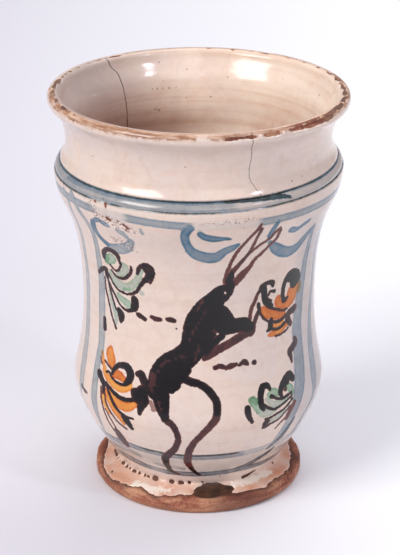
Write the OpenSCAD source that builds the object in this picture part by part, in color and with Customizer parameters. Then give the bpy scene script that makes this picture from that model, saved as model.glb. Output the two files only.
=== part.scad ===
// Waisted apothecary jar of tin-glazed earthenware, thrown on the wheel.
// A red clay body with a spreading foot, a rolled lip and a bead under the collar, coated with
// white tin glaze inside and out. The lip's crest and the foot's edge stay bare.
// The jar stands at the origin on the plane Z = 0, and its axis is Z. The painted front faces -Y.
// Diameters and thicknesses are the finished ones, with the glaze.

/* [Foot] */
// Reach of the foot's edge beyond the springing of the wall
foot_reach = 8.9; // [7:0.1:12]
// Thickness of the foot at its edge
foot_edge_h = 7.2; // [6:0.1:10]
// Rise from the foot's edge to where the wall springs from it
foot_slope_h = 4.0; // [3:0.1:7]
// Roundness of the foot's edge
foot_round = 2.6; // [1:0.1:3]
// Width of the flat ring that the jar stands on
standing_ring_w = 9; // [5:0.5:12]
// Depth of the turned hollow under the foot
hollow_depth = 1.6; // [0.8:0.1:3]

/* [Wall] */
// Diameter where the wall springs from the foot
base_d = 74.4; // [64:0.2:86]
// Diameter of the belly, the lower and narrower swelling
belly_d = 109.8; // [96:0.2:126]
// Rise from the springing of the wall to the belly
belly_rise = 39; // [32:0.5:50]
// Diameter of the waist
waist_d = 101.4; // [90:0.2:116]
// Rise from the belly to the waist
waist_rise = 37; // [30:0.5:52]
// Diameter of the shoulder, under the bead
shoulder_d = 123.8; // [110:0.2:136]
// Rise from the waist to the shoulder
shoulder_rise = 58.5; // [48:0.5:72]
// Thickness of the wall
wall_t = 5; // [4:0.1:6.5]
// Thickness of the floor inside the foot
floor_t = 8.5; // [7:0.1:10]

/* [Bead] */
// How far the bead stands out past the shoulder
bead_step = 0; // [0:0.1:2]
// Height of the bead
bead_h = 2.8; // [1.8:0.1:6]
// Height of the fine line cut under the bead
line_h = 1.2; // [0.8:0.1:2.4]
// Depth of the fine line
line_depth = 0.7; // [0.3:0.1:1.2]
// Height of the groove between the bead and the collar
groove_h = 0.9; // [0.8:0.1:3]
// Depth of the groove behind the bead's face
groove_depth = 3.8; // [2:0.1:5]

/* [Collar and lip] */
// Diameter of the collar at its narrowest
collar_d = 113.4; // [100:0.2:122]
// Height of the collar, from the groove to the lip's crest
collar_h = 28; // [22:0.5:42]
// Reach of the lip's edge beyond the collar
lip_reach = 7.3; // [5:0.1:12]
// Thickness of the lip
lip_t = 4.8; // [3.6:0.1:6.5]

/* [Glaze] */
// Thickness of the tin glaze on the outside
outer_glaze_t = 0.5; // [0.3:0.05:0.9]
// Thickness of the tin glaze on the inside
inner_glaze_t = 0.4; // [0.3:0.05:0.9]
// Thickness of each glaze where it runs out, as a share of its full thickness
glaze_end_share = 0.3; // [0.15:0.05:0.6]
// Width of bare clay between the foot's rounded edge and the glaze
foot_bare_w = 0.8; // [0.4:0.1:2]
// Width of bare clay over the crest of the lip
lip_bare_w = 2.8; // [1:0.1:3.4]

/* [Hidden] */

turn_facets = 144;
curve_steps = 12;
short_steps = 7;

// Heights of the stations up the jar.
foot_top_z = foot_edge_h;
base_z = foot_top_z + foot_slope_h;
belly_z = base_z + belly_rise;
waist_z = belly_z + waist_rise;
shoulder_z = waist_z + shoulder_rise;
bead_z = shoulder_z + line_h;
bead_top_z = bead_z + bead_h;
groove_z = bead_top_z + groove_h;
jar_h = groove_z + collar_h;

// Radii of the clay under the outer glaze. The foot's edge is bare, so its radius is finished.
base_r = base_d / 2 - outer_glaze_t;
belly_r = belly_d / 2 - outer_glaze_t;
waist_r = waist_d / 2 - outer_glaze_t;
shoulder_r = shoulder_d / 2 - outer_glaze_t;
bead_r = shoulder_r + bead_step;
groove_r = bead_r - groove_depth;
collar_r = collar_d / 2 - outer_glaze_t;
foot_r = base_d / 2 + foot_reach;

// The clay between the two glazes.
clay_t = wall_t - outer_glaze_t - inner_glaze_t;
clay_floor_z = hollow_depth + floor_t - inner_glaze_t;

// How long each curve holds its way at its ends, as a share of its rise or reach. The foot's top
// is hollow, the belly is full and tucks into a long waist, and that opens late to the shoulder.
foot_top_hold = [0.4, 0.2];
foot_wall_hold = [0.15, 0.55];
spring_hold = [0.1, 0.2];
belly_hold_below = 0.34;
belly_hold_above = 0.15;
waist_hold_below = 0.58;
waist_hold_above = 0.78;
shoulder_hold = 0.27;
bead_hold = 0.2;
bead_fullness = 0.5;
bead_inside_hold = 0.3;
collar_hold_below = 0.22;
collar_hold_above = 0.38;
collar_lean = 0.5;

// The ways in which the coats and the inside are set off from a surface.
outward = [1, 0];
upward = [0, 1];
inward = [-1, 0];
lower_inward = [-1, 0.6];

// The lip is a round roll. Its angles run from straight outwards, over the top, to the inside.
// The collar meets it below, and the bare clay lies round its top.
lip_round = lip_t / 2;
lip_centre = [collar_r + lip_reach - lip_round, jar_h - lip_round];
lip_under_angle = -38;
lip_top_angle = 90;
lip_inside_angle = 166;
bare_angle = lip_bare_w / lip_round * 180 / PI;
bare_share_outside = 0.4;
outer_glaze_angle = lip_top_angle - bare_angle * bare_share_outside;
inner_glaze_angle = outer_glaze_angle + bare_angle;

function bezier(a, b, c, d, steps = curve_steps) = [
    for (i = [0 : steps])
        let (t = i / steps, s = 1 - t)
        s * s * s * a + 3 * s * s * t * b + 3 * s * t * t * c + t * t * t * d
];

function polar(r, angle) = r * [cos(angle), sin(angle)];

function between(a, b, share) = a + (b - a) * share;

// An arc whose radius runs from the first to the second of radii.
function arc(centre, radii, from, to, steps = short_steps) = [
    for (i = [0 : steps])
        let (share = i / steps)
        centre + polar(between(radii[0], radii[1], share), between(from, to, share))
];

function without_first(path) = [for (i = [1 : len(path) - 1]) path[i]];
function reversed(path) = [for (i = [len(path) - 1 : -1 : 0]) path[i]];
function last(path) = path[len(path) - 1];

// A path moved sideways. The distance and the way of the move run evenly from the first to the
// second of each pair, so that stretches which share an end still meet after the move.
function moved(path, distances, ways) = [
    for (i = [0 : len(path) - 1])
        let (
            share = i / (len(path) - 1),
            way = between(ways[0], ways[1], share)
        )
        path[i] + between(distances[0], distances[1], share) * way / norm(way)
];

// The foot: a flat ring round a turned hollow, a bare rounded edge, and a top that rises in a
// hollow curve to the wall.
foot_arc_r = foot_r - foot_round;
standing_r = foot_arc_r - standing_ring_w;
hollow_slope_w = 3;
bare_slope = 0.3;
foot_under = [
    [0, hollow_depth],
    [standing_r - hollow_slope_w, hollow_depth],
    [standing_r, 0]
];
foot_side = concat(
    arc([foot_arc_r, foot_round], [foot_round, foot_round], -90, 0),
    arc([foot_arc_r, foot_top_z - foot_round], [foot_round, foot_round], 0, 90)
);
glaze_start = [foot_arc_r - foot_bare_w, foot_top_z + foot_bare_w * bare_slope];
foot_top = bezier(
    glaze_start,
    [base_r + foot_reach * foot_top_hold[0], foot_top_z + foot_slope_h * foot_top_hold[1]],
    [base_r - foot_slope_h * foot_wall_hold[0], base_z - foot_slope_h * foot_wall_hold[1]],
    [base_r, base_z],
    short_steps
);

// The wall, from its springing to the shoulder.
lower_wall = bezier(
    [base_r, base_z],
    [base_r, base_z] + belly_rise * spring_hold,
    [belly_r, belly_z - belly_rise * belly_hold_below],
    [belly_r, belly_z]
);
middle_wall = bezier(
    [belly_r, belly_z],
    [belly_r, belly_z + waist_rise * belly_hold_above],
    [waist_r, waist_z - waist_rise * waist_hold_below],
    [waist_r, waist_z]
);
upper_wall = bezier(
    [waist_r, waist_z],
    [waist_r, waist_z + shoulder_rise * waist_hold_above],
    [shoulder_r, shoulder_z - shoulder_rise * shoulder_hold],
    [shoulder_r, shoulder_z]
);

// The bead sits between a fine cut line and the groove at the foot of the collar.
cut_line = [shoulder_r - line_depth, shoulder_z + line_h / 2];
bead_path = bezier(
    [bead_r - line_depth, bead_z],
    [bead_r, bead_z + bead_h * bead_hold],
    [between(groove_r, bead_r, bead_fullness), bead_top_z],
    [groove_r, bead_top_z + groove_h / 2]
);

// The collar draws in a little above the groove and then flares to the lip.
collar_path = bezier(
    [groove_r, groove_z],
    [collar_r, groove_z + collar_h * collar_hold_below],
    [collar_r - collar_lean, jar_h - collar_h * collar_hold_above],
    lip_centre + polar(lip_round, lip_under_angle)
);

// The clay surface under the outer glaze, from the foot's top to the lip.
lip_rounds = [lip_round, lip_round];
wall_outside = concat(
    without_first(lower_wall),
    without_first(middle_wall),
    without_first(upper_wall),
    [cut_line],
    bead_path,
    [collar_path[0]]
);
glazed_outside = concat(
    foot_top,
    wall_outside,
    without_first(collar_path),
    without_first(arc(lip_centre, lip_rounds, lip_under_angle, outer_glaze_angle))
);

// The face of the outer glaze, which lies on the wall at its full thickness and thins to its ends.
outer_coat_ts = [outer_glaze_t, outer_glaze_t];
outer_coat = concat(
    moved(foot_top, [outer_glaze_t * glaze_end_share, outer_glaze_t], [upward, outward]),
    moved(wall_outside, outer_coat_ts, [outward, outward]),
    without_first(moved(collar_path, outer_coat_ts, [outward, polar(1, lip_under_angle)])),
    without_first(arc(
        lip_centre,
        lip_rounds + [outer_glaze_t, outer_glaze_t * glaze_end_share],
        lip_under_angle,
        outer_glaze_angle
    ))
);

// The inside of the collar flares to the lip as its outside does, and ends in the roll.
flare_points = 4;
clay_ts = [clay_t, clay_t];
collar_inside = reversed(moved(
    [for (i = [0 : len(collar_path) - 1 - flare_points]) collar_path[i]],
    clay_ts,
    [inward, inward]
));
lip_inside = arc(lip_centre, lip_rounds, inner_glaze_angle, lip_inside_angle);
flare_inside = bezier(
    last(lip_inside),
    last(lip_inside) + polar(lip_t, lip_inside_angle + 90),
    2 * collar_inside[0] - collar_inside[1],
    collar_inside[0],
    short_steps
);

// The potter's fingers smoothed over the bead and the groove, and followed the wall below them.
points_behind_bead = 2;
straight_inside = reversed(moved(
    concat(
        middle_wall,
        [for (i = [1 : len(upper_wall) - 1 - points_behind_bead]) upper_wall[i]]
    ),
    clay_ts,
    [inward, inward]
));
bead_inside_h = groove_z - straight_inside[0][1];
bead_inside = bezier(
    [groove_r - clay_t, groove_z],
    [groove_r - clay_t, groove_z - bead_inside_h * bead_inside_hold],
    2 * straight_inside[0] - straight_inside[1],
    straight_inside[0]
);

// Near the floor the inside turns in sooner than the outside, and ends in a wide fillet.
fillet_w = 9;
fillet_hold = 6;
fillet_lead = 0.9;
points_below_fillet = 2;
lower_inside = reversed(moved(
    [for (i = [points_below_fillet : len(lower_wall) - 1]) lower_wall[i]],
    clay_ts,
    [lower_inward, inward]
));
floor_flat_r = base_r - clay_t - fillet_w;
floor_fillet = bezier(
    last(lower_inside),
    between(lower_inside[len(lower_inside) - 2], last(lower_inside), 1 + fillet_lead),
    [floor_flat_r + fillet_hold, clay_floor_z],
    [floor_flat_r, clay_floor_z]
);

// The clay surface under the inner glaze, from the lip down to the middle of the floor.
wall_inside = concat(
    without_first(flare_inside),
    without_first(collar_inside),
    without_first(bead_inside),
    without_first(straight_inside)
);
floor_inside = concat(without_first(floor_fillet), [[0, clay_floor_z]]);
glazed_inside = concat(lip_inside, wall_inside, without_first(lower_inside), floor_inside);

// The face of the inner glaze.
inner_coat_ts = [inner_glaze_t, inner_glaze_t];
inner_coat = concat(
    arc(
        lip_centre,
        lip_rounds + [inner_glaze_t * glaze_end_share, inner_glaze_t],
        inner_glaze_angle,
        lip_inside_angle
    ),
    moved(wall_inside, inner_coat_ts, [inward, inward]),
    without_first(moved(lower_inside, inner_coat_ts, [inward, lower_inward])),
    moved(floor_inside, inner_coat_ts, [lower_inward, upward])
);

module turned(outline) {
    rotate_extrude($fn = turn_facets) polygon(outline);
}

// The thrown and turned body of red earthenware, with its foot, bead, collar and lip in one.
module clay_body() {
    color([0.62, 0.36, 0.25])
    turned(concat(
        foot_under,
        foot_side,
        glazed_outside,
        without_first(arc(lip_centre, lip_rounds, outer_glaze_angle, inner_glaze_angle)),
        without_first(glazed_inside)
    ));
}

// The coat of white tin glaze on the outside, from the top of the foot to the lip.
module outer_glaze() {
    color([0.90, 0.82, 0.76])
    turned(concat(glazed_outside, reversed(outer_coat)));
}

// The coat of white tin glaze on the inside, from the lip to the floor.
module inner_glaze() {
    color([0.88, 0.78, 0.72])
    turned(concat(glazed_inside, reversed(inner_coat)));
}

clay_body();
outer_glaze();
inner_glaze();
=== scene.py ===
import bpy
import math
import numpy as np
from functools import partial
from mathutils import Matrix, Vector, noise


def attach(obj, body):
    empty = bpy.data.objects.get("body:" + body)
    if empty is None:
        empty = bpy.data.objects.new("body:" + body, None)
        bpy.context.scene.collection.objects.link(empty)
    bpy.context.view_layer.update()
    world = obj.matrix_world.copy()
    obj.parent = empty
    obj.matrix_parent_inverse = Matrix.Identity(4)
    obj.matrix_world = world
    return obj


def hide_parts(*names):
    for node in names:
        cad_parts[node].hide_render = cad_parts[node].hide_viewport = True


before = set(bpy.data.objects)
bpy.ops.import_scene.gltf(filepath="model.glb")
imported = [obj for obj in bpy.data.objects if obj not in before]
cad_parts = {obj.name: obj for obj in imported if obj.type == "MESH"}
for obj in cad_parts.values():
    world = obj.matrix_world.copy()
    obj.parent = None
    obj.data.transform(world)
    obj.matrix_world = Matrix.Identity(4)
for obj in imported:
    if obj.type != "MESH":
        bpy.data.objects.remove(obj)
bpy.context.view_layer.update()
mm = 0.001
paintRadius = 55.0  # the painting is laid out flat, as if the wall had this radius


def linear(hexCode):  # sRGB hex to the linear colour that Blender works in
    channels = [int(hexCode[i:i + 2], 16) / 255 for i in (1, 3, 5)]
    return tuple(c / 12.92 if c <= 0.04045 else ((c + 0.055) / 1.055) ** 2.4 for c in channels) + (1.0,)


def addNode(tree, kind, *values, stops=(), **settings):
    # the values go to the live inputs in order: a map range takes the value, from and from, to and to;
    # a setting is an input's name or the node's own, and a node stands for its first live output
    node = tree.nodes.new("ShaderNode" + kind)
    for key in settings:
        if key not in node.inputs:
            setattr(node, key, settings[key])
    filled = list(zip([socket for socket in node.inputs if socket.enabled], values))
    filled += [(node.inputs[key], settings[key]) for key in settings if key in node.inputs]
    for socket, value in filled:
        if isinstance(value, bpy.types.Node):
            value = next(output for output in value.outputs if output.enabled)
        if isinstance(value, bpy.types.NodeSocket):
            tree.links.new(value, socket)
        else:
            socket.default_value = linear(value) if isinstance(value, str) else value
    for number, (position, colour) in enumerate(stops):
        elements = node.color_ramp.elements
        stop = elements[number] if number < 2 else elements.new(1)
        stop.position, stop.color = position, linear(colour)
    return node


def smoothStep(low, high, value):
    share = np.clip((value - low) / (high - low), 0, 1)
    return share * share * (3 - 2 * share)


def roughNoise(points, size, seed):  # smooth noise from -1 to 1, with features of this size in mm
    offset = Vector((seed * 7.3, seed * 3.1, seed * 1.7))
    return np.array([noise.noise(Vector(p) / size + offset) for p in points])


# the section that the wheel turned, as lines of (radius, height) in mm

def bezier(a, b, c, d, spacing):
    a, b, c, d = (np.array(p, float) for p in (a, b, c, d))
    t = np.linspace(0, 1, 200)[:, None]
    line = (1 - t) ** 3 * a + 3 * (1 - t) ** 2 * t * b + 3 * (1 - t) * t * t * c + t ** 3 * d
    return evened(line, spacing)


def arc(centre, radius, start, end, spacing):
    angles = np.radians(np.linspace(start, end, 100))
    turned = np.stack([np.cos(angles), np.sin(angles)], 1)
    return evened(np.array(centre) + radius * turned, spacing)


def runAlong(line):  # how far along the line each of its points lies
    return np.r_[0, np.cumsum(np.hypot(*np.diff(line, axis=0).T))]


def evened(line, spacing):  # the same line with its points one spacing apart
    line = np.array(line, float)
    run = runAlong(line)
    count = max(2, int(round(run[-1] / spacing)) + 1)
    at = np.linspace(0, run[-1], count)
    return np.stack([np.interp(at, run, line[:, 0]), np.interp(at, run, line[:, 1])], 1)


def joined(*lines):
    whole = [lines[0]]
    for line in lines[1:]:
        near = np.hypot(*(line[0] - whole[-1][-1])) < 0.05
        whole.append(line[1:] if near else line)
    return np.concatenate(whole)


def wayOut(line, flip=1):  # the direction that points away from the clay at each point of a line
    ahead = np.gradient(line, axis=0)
    ahead /= np.hypot(*ahead.T)[:, None]
    return flip * np.stack([ahead[:, 1], -ahead[:, 0]], 1)


lipCentre = (61.1, 176.2)
lipRound = 2.4
spring = (36.7, 11.2)  # where the wall springs from the foot
footTop = 16.0
footRadius = 38.0  # of the slope that the foot's spots are laid out on
wallMiddle = 100.0  # the bare places above it are chips


def outsideLine(fine, plain):  # from the foot's standing edge, up the wall, to the lip's crest
    return joined(
        arc((43.5, 2.6), 2.6, -90, 0, fine),
        arc((43.5, 4.6), 2.6, 0, 90, fine),
        bezier((42.7, 7.4), (40.3, 8.0), (36.1, 9.0), spring, fine),
        bezier(spring, (40.6, 19.0), (54.4, 36.9), (54.4, 50.2), plain),
        bezier((54.4, 50.2), (54.4, 55.8), (50.2, 65.7), (50.2, 87.2), plain),
        bezier((50.2, 87.2), (50.2, 132.8), (61.4, 129.9), (61.4, 145.7), plain),
        evened([(61.4, 145.7), (60.8, 146.2), (60.8, 146.8)], fine),
        bezier((60.8, 146.8), (61.4, 147.4), (59.5, 149.7), (57.6, 150.1), fine),
        bezier((58.9, 150.6), (58.1, 151.8), (57.0, 153.4), (56.6, 155.4), fine),
        bezier((56.6, 155.4), (56.0, 159.5), (55.9, 168.6), (63.0, 174.7), plain),
        arc(lipCentre, lipRound, -38, 90, fine))


def insideLine(fine, plain):  # from the lip's crest down to the middle of the floor
    return joined(
        arc(lipCentre, lipRound, 90, 166, fine),
        bezier((58.8, 176.8), (57.6, 172.4), (55.1, 170.4), (53.9, 166.8), plain),
        bezier((53.9, 166.8), (52.7, 163.2), (52.0, 157.0), (53.5, 150.6), plain),
        bezier((53.5, 150.6), (53.5, 147.8), (55.6, 143.5), (55.0, 138.6), plain),
        bezier((55.0, 138.6), (53.6, 126.0), (46.1, 124.8), (46.1, 87.2), plain),
        bezier((46.1, 87.2), (46.1, 65.7), (50.3, 55.8), (50.3, 50.2), plain),
        bezier((50.3, 50.2), (50.3, 38.0), (42.0, 28.0), (35.5, 18.2), plain),
        bezier((35.5, 18.2), (33.3, 15.0), (29.6, 10.1), (23.6, 10.1), plain),
        evened([(23.6, 10.1), (0, 10.1)], 2 * plain))


helperLayers = ("wayR", "wayZ", "skin", "run")  # what a point remembers of its place on the section


def writeValues(piece, label, values):
    layer = piece.data.attributes.get(label) or piece.data.attributes.new(label, "FLOAT", "POINT")
    layer.data.foreach_set("value", np.asarray(values, np.float32))


def readValues(piece, label):
    values = np.empty(len(piece.data.vertices), np.float32)
    piece.data.attributes[label].data.foreach_get("value", values)
    return values.astype(float)


def turnPiece(name, line, ways, skin, closed, sectors):
    # the section is drawn at the back, made a mesh, and spun round the axis sector by sector
    bpy.ops.curve.primitive_bezier_curve_add()
    curve = bpy.context.object
    curve.data.splines.clear()
    spline = curve.data.splines.new("POLY")
    spline.points.add(len(line) - 1)
    for point, (r, z) in zip(spline.points, line):
        point.co = (0, r * mm, z * mm, 1)
    spline.use_cyclic_u = closed
    bpy.ops.object.convert(target="MESH")
    piece = bpy.context.object
    piece.name = name
    piece.data.name = name
    for label, values in zip(helperLayers, (ways[:, 0], ways[:, 1], skin, runAlong(line))):
        writeValues(piece, label, values)
    bpy.ops.object.mode_set(mode="EDIT")
    bpy.ops.mesh.select_all(action="SELECT")
    for steps, angle in sectors:
        bpy.ops.mesh.spin(steps=steps, angle=math.radians(angle), center=(0, 0, 0), axis=(0, 0, 1))
    bpy.ops.mesh.select_all(action="SELECT")
    bpy.ops.mesh.remove_doubles(threshold=0.00001)
    bpy.ops.mesh.normals_make_consistent(inside=False)
    bpy.ops.object.mode_set(mode="OBJECT")
    return piece


def readPoints(piece):
    flat = np.empty(len(piece.data.vertices) * 3, np.float32)
    piece.data.vertices.foreach_get("co", flat)
    return flat.reshape(-1, 3).astype(float) / mm


def selectOnly(piece):
    bpy.ops.object.select_all(action="DESELECT")
    bpy.context.view_layer.objects.active = piece
    piece.select_set(True)


def subdivideWhere(piece, near):  # cuts the faces that have a marked point into four
    selectOnly(piece)
    mesh = piece.data
    corners = np.empty(len(mesh.loops), np.int32)
    mesh.loops.foreach_get("vertex_index", corners)
    starts = np.empty(len(mesh.polygons), np.int32)
    mesh.polygons.foreach_get("loop_start", starts)
    chosen = np.maximum.reduceat(near[corners].astype(np.int8), starts).astype(bool)
    bpy.ops.object.mode_set(mode="EDIT")
    bpy.ops.mesh.select_all(action="DESELECT")
    bpy.ops.object.mode_set(mode="OBJECT")
    mesh.polygons.foreach_set("select", chosen)
    bpy.ops.object.mode_set(mode="EDIT")
    bpy.ops.mesh.select_mode(type="FACE")
    bpy.ops.mesh.subdivide(number_cuts=1)
    bpy.ops.object.mode_set(mode="OBJECT")


# how the hand and the kiln pulled the jar out of true
throwing = {
    "tiltHeights": (0, 11, 60, 142, 151, 178.6),
    "sideTilt": (0, -0.4, 0, 0.8, 0.5, -0.45),  # how far one side of each ring is lifted, in mm
    "frontTiltHeights": (0, 150, 178.6),
    "frontTilt": (0, 0, 0.8),
    "lean": 0.4,
    "outOfRound": 0.22,
    "meanRadius": 60,
    "height": 178.6,
}


def throwByHand(piece, points, offset):  # moves the points out along their ways and out of true
    ways = np.stack([readValues(piece, "wayR"), readValues(piece, "wayZ")], 1)
    ways *= (offset / (np.hypot(*ways.T) + 1e-9))[:, None]
    angle = np.arctan2(points[:, 0], -points[:, 1])
    x = points[:, 0] + np.sin(angle) * ways[:, 0]
    y = points[:, 1] - np.cos(angle) * ways[:, 0]
    z = points[:, 2] + ways[:, 1]
    side = np.interp(z, throwing["tiltHeights"], throwing["sideTilt"])
    front = np.interp(z, throwing["frontTiltHeights"], throwing["frontTilt"])
    angle = np.arctan2(x, -y)
    swell = 1 + throwing["outOfRound"] / throwing["meanRadius"] * smoothStep(6, 60, z) * (
        np.sin(2 * angle + z / 60) + 0.5 * np.sin(3 * angle - z / 23 + 1.0))
    thrown = np.stack([x * swell + throwing["lean"] * (z / throwing["height"]) ** 2, y * swell,
                       z + (side * x - front * y) / throwing["meanRadius"]], 1)
    piece.data.vertices.foreach_set("co", (thrown * mm).astype(np.float32).ravel())
    piece.data.update()


# the brushwork: for each ink its strokes as (strength, (across, height, half width), ...) in mm
hareStrokes = {
    "brown": [
        (1, (12.5, 107.5, 2.8), (10, 107, 3.5), (7, 103.5, 4.4), (4, 99, 5.9), (1.5, 93, 7.1),
         (0, 87.5, 6.7), (-2, 82.5, 5.7), (-6.5, 77.5, 5.5), (-13, 72.5, 6.2), (-17, 67, 5.5),
         (-17.5, 61.5, 4.3)),
        (1, (13.5, 108, 1.9), (12, 105, 1.7), (10.5, 103.5, 1.5)),
        (1, (8.5, 95.5, 6), (12.5, 92, 4.5), (16.5, 91, 3.3), (20.5, 91, 3.3), (23.5, 89.5, 2.3)),
        (1, (-17.5, 64, 4.4), (-16.5, 59, 3.8), (-15.5, 54.5, 2.9), (-14.5, 51, 1.9)),
        (1, (10.5, 87, 1.5), (7.5, 84.5, 1.5), (3.5, 80, 1.3)),
        (1, (-5.5, 72, 2.2), (-8, 68.5, 2.2), (-11.5, 65.5, 2)),
        (1, (-9, 65, 1.3), (-12, 62.5, 1.3)),
        (0.62, (11.5, 112, 1), (12, 116.5, 0.8), (13.5, 121, 0.7), (15.5, 126, 0.7), (18, 130, 0.7),
         (20.5, 134, 0.6), (23, 137.5, 0.8), (23.5, 139, 0.4)),
        (0.7, (24, 136.5, 0.8), (23, 132.5, 0.6), (22, 128, 0.7), (21, 125, 0.7), (19, 122, 0.8),
         (17, 119.5, 1), (14.5, 116.5, 1.2), (13.5, 113.5, 1.4)),
        (0.66, (21, 124.5, 0.6), (25, 128, 0.6), (29, 130.5, 0.7), (31, 133.5, 0.8), (32.5, 135, 0.5)),
        (0.62, (33, 133.5, 0.9), (32.5, 129.5, 0.8), (30.5, 127.5, 0.7), (27.5, 124, 0.7), (24, 121, 0.8),
         (22, 117.5, 1.1), (18.5, 114, 1.7), (16, 111, 1.5)),
        (1, (14, 115.5, 1.3), (13.5, 112, 1.8), (14, 109.5, 1.9)),
        (0.66, (23.5, 91.5, 0.9), (24, 94.5, 0.8), (24.5, 97.5, 0.8), (26, 100.5, 0.8), (27.5, 104, 0.8),
         (29.5, 107, 0.6)),
        (0.78, (24.5, 86, 1), (25.5, 87, 1.1), (26, 90.5, 1), (27.5, 94, 0.9), (28.5, 96.5, 0.7)),
        (0.72, (2.5, 77, 0.9), (5, 79, 1.8), (9, 81, 1.8), (14.5, 83.5, 1.8), (19, 85.5, 1.9),
         (22.5, 87, 2)),
        (0.8, (-14.5, 50, 1.7), (-11, 47, 1.5), (-9.5, 43.5, 1.3), (-9, 39.5, 1.3), (-11, 34, 1.4),
         (-14, 30.5, 1.6), (-17, 27, 1.7), (-17.5, 23, 1.4), (-16.5, 19, 1.1), (-14, 17, 0.7),
         (-11.5, 16.5, 0.4)),
        (0.95, (-7.5, 69, 2), (-3.5, 67, 1.8), (0.5, 66, 1.6), (4, 63.5, 1.6), (6.5, 60.5, 1.6),
         (8, 57.5, 1.6), (8, 53.5, 1.6)),
        (0.7, (8, 54, 1.6), (7.5, 51, 1.7), (5.5, 48, 1.6), (2, 43.5, 1.5), (-1.5, 39, 1.4), (-4, 34, 1.5),
         (-5, 29.5, 1.6), (-5.5, 25, 1.5), (-4, 21.5, 1.1)),
        (1, (-4, 21, 1), (-1.5, 18, 0.8), (1, 16.5, 0.4)),
        (0.92, (-17, 26.5, 1.3), (-17.5, 23, 1.25), (-16.5, 19, 1), (-14, 17, 0.6), (-11.5, 16.5, 0.4)),
        (0.9, (-28, 67.5, 1.4), (-26.5, 67.5, 1.8), (-25, 65, 1.9), (-22.5, 63, 2.3)),
        (0.95, (-29, 59, 2.1), (-26.5, 58, 3.5), (-24.5, 56.5, 2.6), (-25.5, 53.5, 1.7), (-26, 50.5, 0.9)),
        (0.9, (-26.5, 61, 1.6), (-22.5, 61.5, 2.3), (-20, 59.5, 1.8)),
        (0.45, (-21, 56.5, 0.8), (-19.5, 53.5, 1)),
    ],
}

# dotted scratches where the red shows through the black, and the eye that is left white
spineSpots = [
    [(3.5, 99, 0.4), (1, 95, 0.5), (-2.5, 89.5, 0.4), (-4, 85, 0.4)],
    [(-7, 78.5, 0.4), (-11.5, 76.5, 0.4), (-15.5, 74.5, 0.5), (-19, 69.5, 0.5), (-19.5, 64, 0.5)],
    [(0, 84, 0.4), (-0.5, 80, 0.5), (-1.5, 76.5, 0.4)], [(-17.5, 57, 0.6), (-16, 54, 0.6)],
    [(-21, 69, 0.7), (-21.5, 64, 0.9), (-20.5, 61, 0.7)], [(2, 104, 0.5), (-1, 99, 0.6)],
    [(6, 90, 0.4), (9, 88, 0.4)],
]
eyeSpots = [
    [(11.6, 107.2, 0.5), (11.8, 106.6, 0.5)],
]

dashStrokes = {
    "brown": [
        (0.85, (-28.5, 94.5, 1), (-27, 94, 1.1), (-25, 93, 0.9)),
        (0.8, (-21.5, 94.5, 0.9), (-19.5, 94, 1.1), (-17.5, 94, 0.9)),
        (0.85, (-14, 94.5, 0.9), (-12.5, 94.5, 1.1), (-11, 94, 0.9)),
        (0.8, (-10, 90.5, 0.3)),
        (0.8, (7.5, 73, 1), (9.5, 73.5, 1.1), (11.5, 73, 0.9)),
        (0.75, (12.5, 72.5, 0.9), (14.5, 73, 1.2), (17, 73.5, 0.9)),
        (0.85, (18.5, 73, 0.6), (21, 74, 1.2), (22.5, 73, 0.8)),
        (0.9, (26, 73, 1.1)),
    ],
}

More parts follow.
